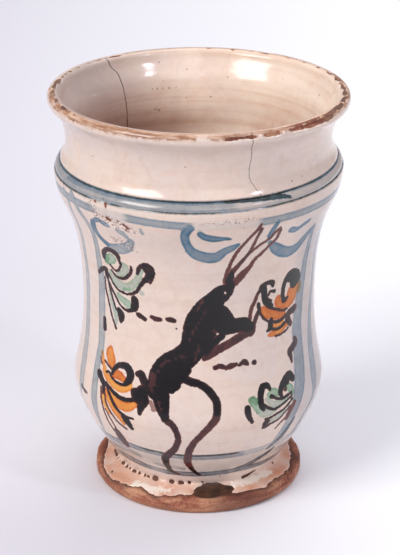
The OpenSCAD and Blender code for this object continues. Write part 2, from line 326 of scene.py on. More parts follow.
upperLeftSprig = {
    "brown": [
        (0.9, (-46, 117, 0.8), (-45.5, 119.5, 1.2), (-42.5, 122, 1), (-39, 122, 1.2), (-37, 120.5, 1.3),
         (-36.5, 118.5, 0.8), (-36, 116, 0.6), (-37.5, 113.5, 0.5), (-39.5, 112.5, 0.4),
         (-41.5, 113.5, 0.4), (-42.5, 114.5, 0.4)),
        (0.9, (-42, 112, 0.4), (-40, 110, 0.4), (-37, 109.5, 0.6), (-34, 110.5, 0.7), (-31.5, 113, 0.7),
         (-30.5, 115, 0.7), (-30.5, 116.5, 0.5)),
        (0.9, (-27.5, 114, 0.6), (-26.5, 116.5, 0.9), (-24.5, 118.5, 1), (-22, 118.5, 1.4),
         (-20.5, 116.5, 1.5), (-20.5, 114, 1.1), (-21.5, 110.5, 0.5)),
        (0.9, (-23.5, 117, 1.2), (-22, 114.5, 1.5), (-23.5, 111.5, 1.2)),
        (0.95, (-44.5, 109.5, 0.5), (-42.5, 106.5, 0.4), (-40, 104, 0.4), (-36.5, 103, 0.4),
         (-33, 103, 0.5), (-29, 105, 0.7), (-26.5, 108.5, 0.8), (-24, 111.5, 1.1)),
        (0.95, (-45, 106, 0.4), (-42.5, 102, 0.5), (-40, 98.5, 0.5), (-37.5, 96, 0.5), (-34, 95, 0.7),
         (-31.5, 96, 1)),
        (0.95, (-30, 101, 1.8), (-30, 99, 1.9), (-30.5, 97, 1.6)),
        (0.95, (-39.5, 94.5, 0.8), (-38.5, 93, 1.7), (-38, 91, 1.7), (-38.5, 89, 0.8)),
        (0.95, (-52, 108, 0.7), (-49, 110.5, 1), (-46, 111.5, 1), (-46, 109, 1.2), (-45.5, 107, 0.7)),
        (0.9, (-47.5, 107, 0.4), (-47.5, 101.5, 0.4), (-46, 96, 0.4), (-44.5, 91, 0.4), (-43, 87.5, 0.4),
         (-41.5, 85, 0.6)),
        (0.9, (-45.5, 106.5, 0.4), (-44.5, 102.5, 0.4), (-43, 98, 0.4), (-41.5, 94.5, 0.4),
         (-40, 93.5, 0.5)),
        (1, (-49.5, 87, 1), (-49.5, 82.5, 1.2)),
    ],
    "green": [
        (0.9, (-44.5, 116, 1.1), (-43.5, 118, 1.3)),
        (0.5, (-44, 115.5, 1.1), (-42, 118.5, 1.3), (-40, 118, 1.4), (-42, 116, 0.8)),
        (0.4, (-34.5, 117, 0.7), (-33.5, 115.5, 1.3), (-34.5, 113, 1.5), (-38, 111, 1)),
        (0.4, (-42.5, 111, 0.8), (-40.5, 107.5, 1.6), (-36, 106, 1.8), (-32.5, 106.5, 1.7),
         (-29, 109.5, 1.5), (-26.5, 113.5, 0.9), (-25, 116, 0.5)),
        (0.75, (-35.5, 105, 0.7), (-32.5, 105.5, 0.7)),
        (0.5, (-39.5, 101.5, 0.5), (-37, 99.5, 1.2), (-34, 98.5, 1.5), (-33.5, 97, 1.1)),
        (0.35, (-44.5, 101.5, 0.6), (-43.5, 96, 0.7), (-41.5, 91.5, 0.8), (-41.5, 87.5, 0.5)),
        (0.3, (-26, 105, 0.8)),
    ],
}

lowerLeftSprig = {
    "orange": [
        (0.8, (-44.5, 75, 0.7), (-45, 72.5, 2.2), (-44, 70, 2.3), (-43, 67.5, 1.2)),
        (1, (-41.5, 63, 0.7), (-39, 64.5, 1.8), (-36, 63.5, 1.3)),
        (0.58, (-50.5, 71, 0.4), (-49, 67, 0.6), (-47, 63, 1), (-44, 61, 1.3), (-40.5, 59.5, 1.3),
         (-36.5, 59, 1.4), (-32.5, 60.5, 1.3), (-31.5, 62, 0.5)),
        (0.72, (-43.5, 57, 0.9), (-40, 54, 1.6), (-36, 52, 1.9), (-32, 52, 1.8), (-28.5, 54, 1.2)),
        (0.7, (-45.5, 55.5, 0.7), (-42, 51.5, 1.1), (-39, 48, 1.3), (-36, 45, 1.1), (-35, 43, 0.6)),
        (0.45, (-46.5, 52.5, 0.8), (-45, 49, 0.9), (-42.5, 46, 0.7)),
    ],
    "brown": [
        (0.8, (-48, 68, 0.3), (-46, 67, 0.4), (-44, 66, 0.4), (-42.5, 65.5, 0.4)),
        (1, (-42.5, 64, 0.7), (-41, 67, 1), (-38, 69, 1.2), (-34, 69, 1.8), (-32, 66, 1.9), (-33, 63, 1.5),
         (-35.5, 61, 0.7), (-39, 61, 0.5), (-42, 62, 0.5), (-44.5, 64, 0.5), (-46.5, 63.5, 0.4)),
        (1, (-51, 61.5, 1.7), (-49, 59.5, 1.4), (-47, 58, 1.2)),
        (0.9, (-47, 57.5, 1.2), (-46.5, 54.5, 1)),
        (1, (-45.5, 59, 0.5), (-41, 56.5, 0.8), (-36.5, 55, 0.9), (-32.5, 55, 0.9), (-29, 56, 0.9)),
        (0.95, (-45, 57.5, 0.5), (-42, 54, 0.7), (-39, 50.5, 0.8), (-36.5, 48.5, 0.7), (-34.5, 47.5, 0.7)),
        (1, (-34.5, 47, 1.3), (-33, 45, 1.8), (-31, 41.5, 1)),
        (1, (-32.5, 47, 0.6), (-29.5, 47, 0.5)),
        (0.8, (-45.5, 54, 0.4), (-44.5, 50.5, 0.4), (-42, 46.5, 0.4), (-38.5, 42.5, 0.4), (-34, 40, 0.4)),
        (0.7, (-48.5, 56, 0.4), (-47.5, 51, 0.4), (-46.5, 46, 0.4), (-45.5, 40.5, 0.4),
         (-43.5, 35.5, 0.4)),
        (0.6, (-45, 46.5, 0.3), (-42.5, 41.5, 0.4), (-40.5, 36, 0.4)),
        (0.7, (-41.5, 38, 0.4), (-41, 35, 2.2), (-40, 31.5, 2.5), (-39, 29, 1.5)),
        (0.6, (-51.5, 68.5, 0.4), (-50, 66, 0.4)),
    ],
}

upperRightSprig = {
    "brown": [
        (0.95, (28, 104.5, 0.6), (29.5, 107, 1), (32.5, 108, 1), (35, 107.5, 1.1), (35.5, 106, 0.8)),
        (1, (30.5, 106, 1.5), (31, 103, 1.4), (31.5, 100.5, 1.6), (33, 98.5, 1.6), (35, 96.5, 1.3)),
        (1, (33, 102, 0.5), (34.5, 103.5, 0.6), (36.5, 103, 0.8)),
        (0.95, (33.5, 99.5, 0.9), (35, 99, 0.6)),
        (1, (43, 97, 1.1), (42, 100, 1.1), (42.5, 104.5, 1.2), (44.5, 107.5, 1.5), (47, 109, 1.3),
         (51, 107.5, 1.6), (52.5, 104.5, 1.9), (50, 103.5, 2.2)),
        (1, (45.5, 106, 1.2), (49, 106, 2.6), (49.5, 103.5, 2.7)),
        (0.9, (44, 97, 0.9), (45.5, 98, 0.5)),
        (0.9, (35.5, 95.5, 0.6), (39, 94, 0.5), (42.5, 92.5, 0.4), (45.5, 92.5, 0.4)),
        (0.95, (28, 99, 0.8), (28.5, 97, 0.8), (29.5, 94, 0.5), (32, 91, 0.5), (35, 89.5, 0.6),
         (38.5, 88.5, 0.7), (42, 88.5, 0.8), (44.5, 90, 0.5)),
        (0.8, (52, 92, 0.7), (50.5, 91, 1.7), (46.5, 90, 1.5), (46, 88, 1.6), (48, 85, 1.2),
         (48, 84, 0.5)),
        (1, (35.5, 90.5, 0.7), (35, 89, 1.3), (35, 86.5, 1.2), (33.5, 85.5, 0.6)),
        (0.95, (35.5, 86, 0.6), (39, 85, 0.6), (42, 85.5, 0.7), (44, 86.5, 0.8)),
        (0.9, (38, 82, 0.4), (41, 82, 0.4), (44, 82.5, 0.5), (46.5, 83.5, 0.4)),
        (0.8, (51, 77.5, 0.7), (51.5, 75.5, 1.6), (49.5, 74, 1.7), (47, 72.5, 1.5), (47.5, 70, 1.1),
         (48, 67.5, 0.5)),
    ],
    "orange": [
        (1, (52, 100.5, 1.7), (49, 99.5, 3.2), (48, 97, 3), (44, 95, 2.2), (40, 96, 1.8), (39, 98.5, 1.4),
         (39.5, 99.5, 0.6)),
        (0.35, (54, 99, 1.3), (54.5, 101, 0.9)),
        (1, (31, 96, 1.4), (33, 94, 2.2), (37, 92, 1.9), (41, 91, 1.5), (43.5, 91.5, 0.7)),
        (0.6, (37.5, 87, 0.7), (39.5, 87, 0.8), (42.5, 87.5, 0.6)),
        (0.8, (34.5, 83.5, 0.6), (36.5, 83.5, 1), (40.5, 83.5, 1), (43.5, 85, 1.1), (45.5, 86, 1)),
    ],
}

lowerRightSprig = {
    "brown": [
        (1, (47, 60.5, 1.4), (45, 62.5, 1.9), (42.5, 61, 2.2), (40, 59.5, 1.5), (38.5, 57, 1.3),
         (39, 55, 0.7)),
        (1, (33, 59.5, 0.6), (32, 61.5, 1.2), (29.5, 61.5, 1.5), (28.5, 59.5, 1.5), (28, 57, 1.4),
         (28, 54, 1.3), (29, 51.5, 0.7)),
        (0.95, (21.5, 54, 1.2), (21.5, 52.5, 1.5), (22, 50, 1.2), (23.5, 47, 0.8)),
        (1, (33.5, 56.5, 0.8), (36, 55, 0.6), (39, 54, 0.6), (42.5, 54.5, 0.5), (45, 55, 0.4)),
        (1, (29.5, 53.5, 0.7), (32, 51.5, 0.6), (35, 50.5, 0.6), (39, 51.5, 0.4), (42, 52.5, 0.4),
         (45, 53.5, 0.4)),
        (0.95, (30, 47, 0.4), (32.5, 47, 0.6), (36, 48, 0.5), (40, 49, 0.5), (42.5, 50.5, 0.4),
         (45, 52, 0.4)),
        (0.9, (29.5, 42.5, 0.7), (30.5, 45, 1.3), (32, 45.5, 0.6)),
        (0.9, (30.5, 42.5, 0.6), (33, 43.5, 0.5), (37, 44.5, 0.4), (40.5, 47, 0.4), (43.5, 49, 0.4)),
        (0.6, (37, 40, 0.3), (39, 42, 0.4), (41.5, 44, 0.4)),
        (0.6, (46.5, 50, 1), (45, 48, 1.4), (43.5, 46, 1.4), (42.5, 43.5, 1.1)),
        (0.8, (42, 57, 0.4), (41, 57, 0.4), (42, 58, 0.5)),
    ],
    "green": [
        (0.95, (24, 57, 1.2), (25.5, 55.5, 1.1)),
        (0.6, (23.5, 57, 1.2), (25, 55.5, 1.8), (27, 52, 1.5)),
        (0.35, (27, 53, 1.4), (29, 50, 1.6), (33, 50, 1.2), (36.5, 51.5, 0.7)),
        (0.6, (32.5, 57.5, 0.8), (34.5, 58, 1.5), (37, 57, 1)),
        (0.95, (33, 56.5, 0.7)),
        (0.6, (42.5, 59, 0.8), (44.5, 57, 1.5), (45.5, 55, 1)),
        (0.35, (31, 55.5, 0.7), (34, 53, 1.1), (38, 52.5, 0.9), (42, 53, 0.6)),
        (0.3, (32.5, 44.5, 0.7), (36.5, 46, 0.9), (40.5, 48, 0.6)),
    ],
}

scallopStrokes = {
    "blue": [
        (1, (-45, 135, 1.4), (-46, 132, 1.6), (-45.5, 129, 1.4), (-43.5, 126.5, 1.2), (-41, 125, 1.3)),
        (0.75, (-43.5, 136.5, 1), (-41, 137.5, 1.1), (-39, 136.5, 1.1), (-37, 136, 1.1)),
        (0.5, (-40.5, 124, 1.6), (-37, 124, 2.3), (-33, 125, 2.5), (-29.5, 127, 2.1), (-27.5, 130, 1.4)),
        (0.45, (-32.5, 134.5, 1), (-30.5, 133.5, 1.3), (-29, 132, 0.9)),
        (0.35, (-22, 137.5, 0.5), (-21.5, 135.5, 0.8)),
        (0.95, (-3.2, 140, 1.7), (-5, 137, 1.8), (-5, 133, 1.7), (-3.5, 129, 1.8)),
        (0.85, (-3.5, 128.5, 1.9), (-0.5, 126, 2.4), (3.5, 124.5, 2.5), (7, 124.5, 2.4), (10, 127, 1.9),
         (13, 128.5, 1.6), (15.5, 130, 0.8)),
        (1, (0.5, 137, 1.2), (2, 135.5, 1.4), (4.5, 134.5, 1.6), (7.5, 134, 1.2), (10, 134, 0.8),
         (12, 133.5, 0.5)),
        (0.95, (31, 138.5, 0.8), (29.5, 135.5, 1.2), (28.5, 132, 1.1)),
        (0.85, (29.5, 128.5, 0.8), (33.5, 124.5, 2.3), (38, 121.5, 2.5), (43, 120, 2.4), (47.5, 121, 2.2),
         (51, 123.5, 2), (54.5, 126, 1.6), (57, 127, 1)),
        (0.85, (39, 132, 1.4), (42, 131, 1.3), (44.5, 131.5, 1), (47, 132.5, 1.1), (49.5, 133, 0.9)),
    ],
}

stripeStrokes = {
    "blue": [
        (0.45, (-56, 144.5, 1.5), (-53, 139, 1.5), (-50, 134, 1.4), (-49, 128.5, 1.5), (-50, 119.5, 1.7),
         (-50.5, 113, 2), (-50.5, 104.5, 2.2), (-51.5, 95, 2.3), (-52, 83, 2.3), (-52, 74.5, 2.2),
         (-53.5, 65.5, 2.1), (-53.5, 58.5, 2.1), (-53, 52, 2.2), (-53.5, 44, 2.1), (-54, 36, 1.3),
         (-56, 29.5, 1)),
        (0.4, (-62.5, 143.5, 1.4), (-60, 139, 1.2), (-61.5, 130.5, 1.4), (-63, 123, 1.7), (-65, 113, 1.9),
         (-65.5, 104.5, 2), (-66.5, 94.5, 2.3), (-67.5, 85.5, 2.5), (-67.5, 77.5, 2.6), (-67.5, 68, 2.8),
         (-67, 60, 3), (-66, 53.5, 2.6), (-65, 50, 1.6)),
        (0.5, (57, 127.5, 1.2), (58, 117.5, 1.9), (57.5, 110.5, 2.2), (57, 104, 2.5), (55.5, 97, 2.9),
         (54.5, 89, 3.3), (53.5, 82, 3.5), (53.5, 74, 3.7), (53.5, 66.5, 3.8), (52, 58.5, 3.7),
         (49.5, 52.5, 3.4), (47, 46, 2.9), (44.5, 39, 2.5), (41, 32, 1.8), (38, 28.5, 0.9)),
        (0.45, (84, 146, 1.3), (79, 141, 1.2), (74.5, 135, 1.2), (71, 127, 1.3), (70, 120, 1.5),
         (70, 113.5, 1.7), (70.5, 104, 1.8), (70, 94.5, 2), (68.5, 86, 2.1), (67, 77.5, 2.3),
         (66, 68.5, 2.8), (65.5, 61.5, 3), (64.5, 55.5, 3), (63, 46, 1.5), (59.5, 40.5, 1.2),
         (57, 35, 0.9)),
        (1.7, (58, 39, 0.5), (57, 34, 1), (55, 30.5, 0.9)),
        (1.65, (48.5, 41, 0.7), (46.5, 37, 1.5), (44.5, 33, 1.8), (41, 30, 1.2), (38, 27.8, 0.8)),
        # these two strokes widen the dark line in the groove above the bead: partly blue pigment, partly
        # painted shade in the groove
        (1.75, (10, 149.9, 0.45), (19, 149.7, 0.6), (27, 149.4, 0.75), (33, 148.9, 0.8), (36, 148.1, 0.5)),
        (0.85, (-62, 149.3, 0.8), (-40, 149.4, 0.7), (-15, 149.7, 0.45), (0, 149.7, 0.45),
         (12, 149.8, 0.45)),
        (0.3, (-56, 25, 1.2), (-48, 24.5, 1.7), (-40, 25.5, 1.5), (-33, 24, 1)),
        (0.35, (-24, 21.5, 0.8), (-15, 21, 1), (-8, 20.5, 0.7)),
        (1.25, (22, 18.5, 0.9), (28, 19.5, 1.3), (34, 21.5, 1.4), (40, 24, 1.1), (43, 26, 0.7)),
        (0.4, (-66.5, 52, 1.6), (-68, 46, 1.2), (-70, 40, 1), (-72, 34, 0.9), (-73, 30, 0.8)),
        (0.95, (-51, 20.5, 1.3), (-44, 19.5, 1.7), (-36, 18.5, 1.5), (-29, 17.5, 1)),
    ],
    "brown": [
        (0.85, (-65, 50, 1), (-62, 49, 1), (-59.5, 49, 0.5)),
    ],
}

# the rings run round the whole jar: (ink, strength, half width, heights at these degrees from the front)
ringStrokes = [
    # the first ring darkens the groove above the bead: partly blue pigment, partly painted shade in the
    # groove
    ("blue", 1.25, 0.4, ((-180, 150.2), (0, 150.2), (180, 150.2))),
    ("blue", 0.5, 1.8, ((-180, 148.6), (0, 148.6), (180, 148.6))),
    ("blue", 1.25, 0.28, ((-180, 146.4), (0, 146.3), (180, 146.4))),
    ("blue", 0.52, 1.7,
     ((-180, 141), (-66, 142), (-29, 141.9), (-3, 140.6), (24, 140), (64, 139), (180, 141))),
    ("blue", 0.72, 1.4, ((-180, 28.5), (-56, 28.2), (-39, 29.5), (0, 28.7), (21, 28.9), (180, 28.5))),
    ("blue", 1.9, 0.5,
     ((-180, 30.3), (-56, 29.6), (-39, 31), (-18, 30), (0, 30), (21, 30.4), (180, 30.3))),
    ("blue", 1.15, 1.5,
     ((-180, 17.5), (-46, 18.2), (-20, 16.8), (0, 17), (26, 17.8), (45, 16.9), (180, 17.5))),
]
# where a ring fades: (ring, from degrees, to degrees, share of its strength left)
ringGaps = [
    (1, 14, 100, 0.5), (2, -46, -36, 0.3), (2, 8, 26, 0.5), (3, -44, -29, 0.1), (3, -3, 24, 0.04),
    (3, 24, 180, 0.95), (4, 24, 60, 0.35), (5, 21, 70, 0.15), (5, -180, -30, 0.55), (6, -30, -22, 0.5),
    (6, 8, 20, 0.75),
]


thinnest = 0.45  # half the width in mm of the thinnest line that the brush draws
farAway = 4.0  # mm, past which a stroke is no longer felt
offLip = -900.0  # stands for the degrees over the lip at a point that isn't on it


def strokeLine(points):  # a smooth line with widths through the points of one stroke
    points = np.array(points, float)
    if len(points) < 3:
        return points if len(points) > 1 else np.repeat(points, 2, axis=0)
    padded = np.concatenate([2 * points[:1] - points[1:2], points, 2 * points[-1:] - points[-2:-1]])
    out = []
    for i in range(1, len(padded) - 2):
        p0, p1, p2, p3 = padded[i - 1:i + 3]
        for t in (0, 0.25, 0.5, 0.75):
            out.append(0.5 * (2 * p1 + (p2 - p0) * t + (2 * p0 - 5 * p1 + 4 * p2 - p3) * t * t
                              + (3 * p1 - p0 - 3 * p2 + p3) * t ** 3))
    out.append(padded[-2])
    out = np.array(out)
    out[:, 2] = np.maximum(out[:, 2], thinnest)
    return out


def strokeField(across, height, stretch, strokes, inks):
    # distance in mm to the edge of the nearest stroke of each ink, below zero inside it, and its strength
    fields = {ink: [np.full(len(across), farAway), np.zeros(len(across))] for ink in inks}
    for ink, strength, *points in strokes:
        line = strokeLine(points)
        reach = line[:, 2].max() + farAway
        low, high = line[:, :2].min(0) - reach, line[:, :2].max(0) + reach
        near = np.where((across > low[0]) & (across < high[0]) & (height > low[1]) & (height < high[1]))[0]
        if not len(near):
            continue
        best = np.full(len(near), farAway)
        scale = stretch[near]
        for (ax, ay, aw), (bx, by, bw) in zip(line[:-1], line[1:]):
            px, py = (across[near] - ax) * scale, height[near] - ay
            vx, vy = (bx - ax) * scale, by - ay
            t = np.clip((px * vx + py * vy) / (vx * vx + vy * vy + 1e-6), 0, 1)
            best = np.minimum(best, np.hypot(px - t * vx, py - t * vy) - (aw + (bw - aw) * t))
        field, power = fields[ink]
        stronger = (best < field[near]) & ((best < 0.4) | (power[near] == 0))
        bothInside = (best < 0) & (field[near] < 0)
        single = np.where(stronger, strength, power[near])
        power[near] = np.where(bothInside, np.maximum(power[near], strength), single)
        field[near] = np.minimum(field[near], best)
    return fields


def spotField(across, height, stretch, spots):  # the distance alone, for strokes without an ink
    return strokeField(across, height, stretch, [("spot", 1, *spot) for spot in spots], ["spot"])["spot"][0]


def onWall(points):  # where points lie on the flat painting, and how the wall stretches it there
    x, y, z = points.T
    return np.arctan2(x, -y) * paintRadius, z, np.hypot(x, y) / paintRadius


def addRings(fields, degrees, height):
    for number, (ink, strength, half, heights) in enumerate(ringStrokes):
        at, level = zip(*heights)
        distance = np.abs(height - np.interp(degrees, at, level)) - half
        left = np.ones(len(degrees))
        for ring, start, end, share in ringGaps:
            if ring == number:
                inGap = smoothStep(start - 2, start + 2, degrees) - smoothStep(end - 2, end + 2, degrees)
                left = np.minimum(left, 1 - (1 - share) * inGap)
        field, power = fields[ink]
        bothInside = (distance < 0) & (field < 0)
        single = np.where(distance < field, strength * left, power)
        power[:] = np.where(bothInside, np.maximum(power, strength * left), single)
        field[:] = np.minimum(field, distance)


print("stage: tools and brushwork ready")

# where the glaze stops on the foot: (degrees from the front, mm down from where the wall springs)
footEdge = [
    (-180, 7), (-92, 6.2), (-80, 7.6), (-68, 10), (-56, 11.4), (-50, 9.9), (-43, 8.9), (-37, 7.4),
    (-28, 9.4), (-22, 9.7), (-15, 7.6), (-10, 6.4), (-4, 6.4), (4, 7.5), (14, 7.2), (20, 7), (29, 7.9),
    (41, 9), (49, 7.8), (67, 7.8), (76, 7.1), (90, 5.8), (120, 7.5), (150, 6), (180, 7),
]
# the places without glaze, as strokes: on the foot (mm round it, mm down, half width)
footSpots = [
    [(-57, 1.6, 0.4), (-54, 1.7, 0.6)], [(-52.5, 1.7, 0.5), (-50.5, 1.6, 0.5)], [(-48, 1.5, 0.5)],
    [(-45.5, 1.6, 0.45)], [(-43, 1.4, 0.55), (-41.5, 1.3, 0.5)], [(-38.5, 1.3, 0.6)], [(-36, 1.2, 0.45)],
    [(-33.5, 1.3, 0.5), (-32, 1.2, 0.45)], [(-29.5, 1, 0.6)], [(-26, 0.9, 0.5)], [(-24, 0.9, 0.45)],
    [(-21, 0.7, 0.75), (-19.5, 0.8, 0.65)], [(-13, 0.6, 0.5), (-11.5, 0.7, 0.5)],
    [(-8.5, 0.6, 0.55), (-7, 0.6, 0.4)], [(-4, 0.3, 0.6)], [(1.5, -0.2, 0.5)],
    [(21, 0.4, 0.3), (25, -0.3, 0.5), (28, -0.7, 0.4)], [(42, 0.8, 0.5)],
    [(-41.5, 7.2, 0.5), (-40.5, 8.2, 0.3)],
]
# the large spot at the front that the fire left dark and glassy, and the white pool beside it
scorchSpots = [
    [(0.2, 4, 1.7), (4, 3.3, 2.3), (8.5, 3, 1.7), (13.5, 4.2, 1.2)],
    [(0, 6.4, 1.9), (3.5, 7, 2.4), (9, 6.4, 2), (12, 5.6, 1.4)],
]
poolSpots = [
    [(16, 2, 0.9), (22, 2.4, 1.7), (30, 2.6, 1.6), (36, 3, 0.9)],
    [(-26, 6.6, 1.2), (-19, 6.6, 1.8), (-12, 5.2, 1.2)],
]
# the damaged patch at the left of the shoulder, laid out as the painting is
wallSpots = [
    [(-42, 145.6, 0.5)], [(-36.5, 146, 0.45)], [(-37, 144.4, 0.4)],
    [(-36.5, 139.4, 0.7), (-35, 138.8, 0.8)], [(-31, 139.2, 0.6)], [(-29.5, 138, 0.4), (-27, 136.6, 0.5)],
    [(-25.5, 135.8, 0.5)], [(-41.5, 140, 0.3)],
]
# where the coat is crumbled, with red and dark grains in it
patchSpots = [
    [(-44, 144.5, 1.5), (-41, 140, 2.2), (-35, 138, 2.8), (-29, 137, 2.4), (-25, 135.5, 1.6)],
    [(-37, 129, 1.4), (-31, 128, 2.2), (-27, 125.5, 1.6)],
    [(1, 141.5, 0.5), (6, 141.8, 0.9), (14, 142, 1), (23, 142.1, 0.6)], [(5, 142, 0.3), (18, 142.3, 0.3)],
]
# the lip: (degrees from the front, degrees over the roll of the lip, half width in mm along it)
lipSpots = [
    [(10, 24, 0.6), (12.5, 30, 0.7), (15, 27, 0.5)], [(16.5, 30, 0.5), (20, 30, 0.6)],
    [(24, 32, 0.6), (30, 38, 0.8)], [(36, 38, 0.7), (44, 34, 0.9), (54, 36, 1), (60, 42, 0.8)],
    [(34, 82, 0.5), (42, 88, 0.8), (52, 88, 0.8)], [(56, 78, 0.6), (62, 74, 0.9), (70, 80, 0.7)],
    [(66, 56, 0.5), (72, 62, 0.7)], [(75, 72, 0.8), (80, 80, 0.7)], [(82, 58, 0.4)],
    [(84, 88, 0.7), (89, 76, 0.6)], [(91, 62, 0.5)], [(92, 92, 0.8), (97, 86, 0.6)], [(99, 98, 0.6)],
    [(102, 78, 0.4)], [(104, 96, 0.6), (107, 92, 0.4)], [(112, 96, 0.5), (115, 92, 0.4)], [(122, 92, 0.4)],
    [(131, 92, 0.5)], [(140, 92, 0.3)], [(150, 92, 0.4), (153, 94, 0.3)], [(158, 92, 0.3)],
    [(166, 95, 0.3)], [(-54, 70, 0.3)], [(-62, 74, 0.5), (-66, 80, 0.5)], [(-72, 76, 0.5), (-75, 88, 0.4)],
    [(-80, 96, 0.6)], [(-83, 74, 0.8), (-87, 70, 0.9)], [(-90, 96, 0.5)], [(-92, 80, 0.9), (-95, 72, 0.6)],
    [(-97, 90, 1.2), (-101, 96, 1)], [(-105, 90, 0.8)], [(-109, 100, 0.6)], [(-113, 92, 0.7)],
    [(-120, 96, 0.6)], [(-127, 96, 0.4)], [(-133, 94, 0.3)], [(-139, 92, 0.6), (-144, 94, 0.5)],
    [(3, 50, 0.4)], [(-160, 92, 0.3)], [(176, 92, 0.3)],
]
wearSpots = [
    [(-90, 62, 0.8), (-76, 54, 1.3), (-62, 46, 1.6), (-40, 42, 1.7), (-20, 42, 1.6), (-2, 42, 1.3)],
    [(-178, 93, 0.4), (-112, 93, 0.4)], [(112, 93, 0.4), (178, 93, 0.4)],
    [(4, 42, 1.1), (34, 56, 1.3), (62, 60, 1.5), (90, 72, 1.7), (110, 80, 1.3)],
]


def lipField(degrees, turn, spots):
    perDegree = (1.1, lipRound * math.pi / 180)  # mm round the lip and over its roll
    inMm = [[(d * perDegree[0], t * perDegree[1], w) for d, t, w in spot] for spot in spots]
    onLip = (turn > -60) & (turn < 172)
    over = np.where(onLip, turn, offLip) * perDegree[1]
    return np.where(onLip, spotField(degrees * perDegree[0], over, np.ones(len(turn)), inMm), farAway)


def footField(angle, down, spots):
    return spotField(angle * footRadius, down, np.ones(len(down)), spots)


def downFoot(z, run, springRun):  # mm down the foot's slope from where the wall springs
    return np.where(z < footTop, springRun - run, -50.0)


def shallowed(z, bare):  # a chip in the lip counts as this deep at most, so its clay is dark to the middle
    return np.where(z > wallMiddle, np.maximum(bare, -1.3), bare)


def bareField(points, run, springRun, lipTurn):
    # distance in mm to the nearest place without glaze, below zero in it
    x, y, z = points.T
    angle = np.arctan2(x, -y)
    degrees = np.degrees(angle)
    down = downFoot(z, run, springRun)
    ragged = 0.5 * roughNoise(points, 3.0, 1) + 0.3 * roughNoise(points, 1.1, 2)
    torn = 0.9 * roughNoise(points, 5.0, 21) + 0.7 * roughNoise(points, 1.9, 22)
    field = np.where(z < footTop, np.interp(degrees, *zip(*footEdge)) - down + ragged + torn, farAway)
    for spots, rough, less in ((footSpots, 0.5, 0.42), (scorchSpots, 1.0, 0.0)):
        field = np.minimum(field, footField(angle, down, spots) + rough * ragged + less)
    field = np.minimum(field, spotField(*onWall(points), wallSpots) + 0.3 * ragged)
    chipped = 0.35 * roughNoise(points, 2.2, 23) + 0.5 * roughNoise(points, 1.0, 24)
    return np.minimum(field, lipField(degrees, lipTurn, lipSpots) + 0.6 * ragged + chipped)


outerGlazeLook = {
    "thickness": 0.5,
    "back": 1.0,  # how deep its hidden face lies in the clay
    "sunk": 0.7,  # how deep in the clay its face lies where it is missing
    "fullOnFoot": 1.5,  # how far from a bare place it has its full thickness, on the foot and elsewhere
    "full": 0.7,
    "uneven": 0.06,
    "atLip": 0.34,  # how much thinner it runs over the lip, coming on between these degrees of its roll
    "thinning": (60, 88),
    "steps": [(28, 90), (9, 15), (110, 150), (9, 15), (28, 90)],  # columns and degrees, most at the front
    "spacing": (0.55, 1.3),
    "finer": (1.3, 0.6),  # mm from the edge of a stroke within which the mesh is cut finer, twice
}
innerGlazeLook = {
    "thickness": 0.4,
    "back": 1.0,
    "sunk": 0.6,
    "full": 0.7,
    "atLip": 0.26,
    "thinning": (92, 118),
    "steps": [(70, 90), (8, 15), (40, 150), (8, 15), (70, 90)],
    "spacing": (0.55, 1.5),
}
clayBodyLook = {
    "steps": [(60, 90), (12, 15), (150, 150), (12, 15), (60, 90)],
    "spacing": (0.55, 3.0),
    "insideSpacing": (0.55, 4.0),
    "grit": (0.3, 0.16),  # how far coarse and fine grit stand out or in
    "wornFoot": 0.12,
    "chipDepth": 0.5,
}


def lipTurnOf(line, elsewhere):  # degrees over the roll of the lip, and another value away from it
    across, up = (line - lipCentre).T
    turn = np.degrees(np.arctan2(up, across))
    onRoll = np.hypot(across, up) < lipRound + 0.8
    return np.where(onRoll & (turn > -60), turn, elsewhere)


def openRun(line, ways, depth):  # drops the points that a parallel line would cross itself at
    moved = line + ways * depth
    nearest = np.array([np.hypot(*(line - p).T).min() for p in moved])
    return nearest > abs(depth) * 0.93


def glazeShell(name, line, ways, look, closed):
    front = openRun(line, ways, look["thickness"])
    line, ways = line[front], ways[front]
    face = line + ways * look["thickness"]
    keep = np.r_[0:len(line) - 2:3, len(line) - 1]  # the hidden face is three times as coarse
    keep = keep[openRun(line, ways, -look["back"])[keep] | (keep == 0) | (keep == len(line) - 1)]
    back = line - ways * look["back"]
    whole = np.concatenate([face, back[keep][::-1]])
    allWays = np.concatenate([ways, ways[keep][::-1]])
    skin = np.r_[np.ones(len(face)), np.zeros(len(keep))]
    return turnPiece(name, whole, allWays, skin, closed, look["steps"]), line, runAlong(face)


def springOf(line, run):
    return run[np.argmin(np.hypot(line[:, 0] - spring[0], line[:, 1] - spring[1]))]


outLine = outsideLine(*outerGlazeLook["spacing"])
start = np.where((outLine[:, 0] > 46) & (outLine[:, 1] > 3.2))[0][0]
outLine, outWays = outLine[start:], wayOut(outLine)[start:]
outerGlaze, outLine, outerRun = glazeShell("outerGlaze", outLine, outWays, outerGlazeLook, True)
springRun = springOf(outLine, outerRun)

inkNames = ["blue", "brown", "green", "orange"]
pictures = (hareStrokes, dashStrokes, upperLeftSprig, lowerLeftSprig, upperRightSprig, lowerRightSprig,
            scallopStrokes, stripeStrokes)
allStrokes = [(ink, *stroke) for picture in pictures for ink in picture for stroke in picture[ink]]


def paintFields(piece):
    points = readPoints(piece)
    fields = strokeField(*onWall(points), allStrokes, inkNames)
    fields["brown"][0] = np.maximum(fields["brown"][0], -spotField(*onWall(points), eyeSpots))
    thin = spotField(*onWall(points), spineSpots) + 0.5 * roughNoise(points, 1.2, 3)
    fields["brown"][1] = fields["brown"][1] * (1 - 0.3 * (1 - smoothStep(-0.3, 0.3, thin)))
    face = readValues(piece, "skin") > 0.9
    for field, power in fields.values():
        field[~face] = farAway
    return points, fields, face


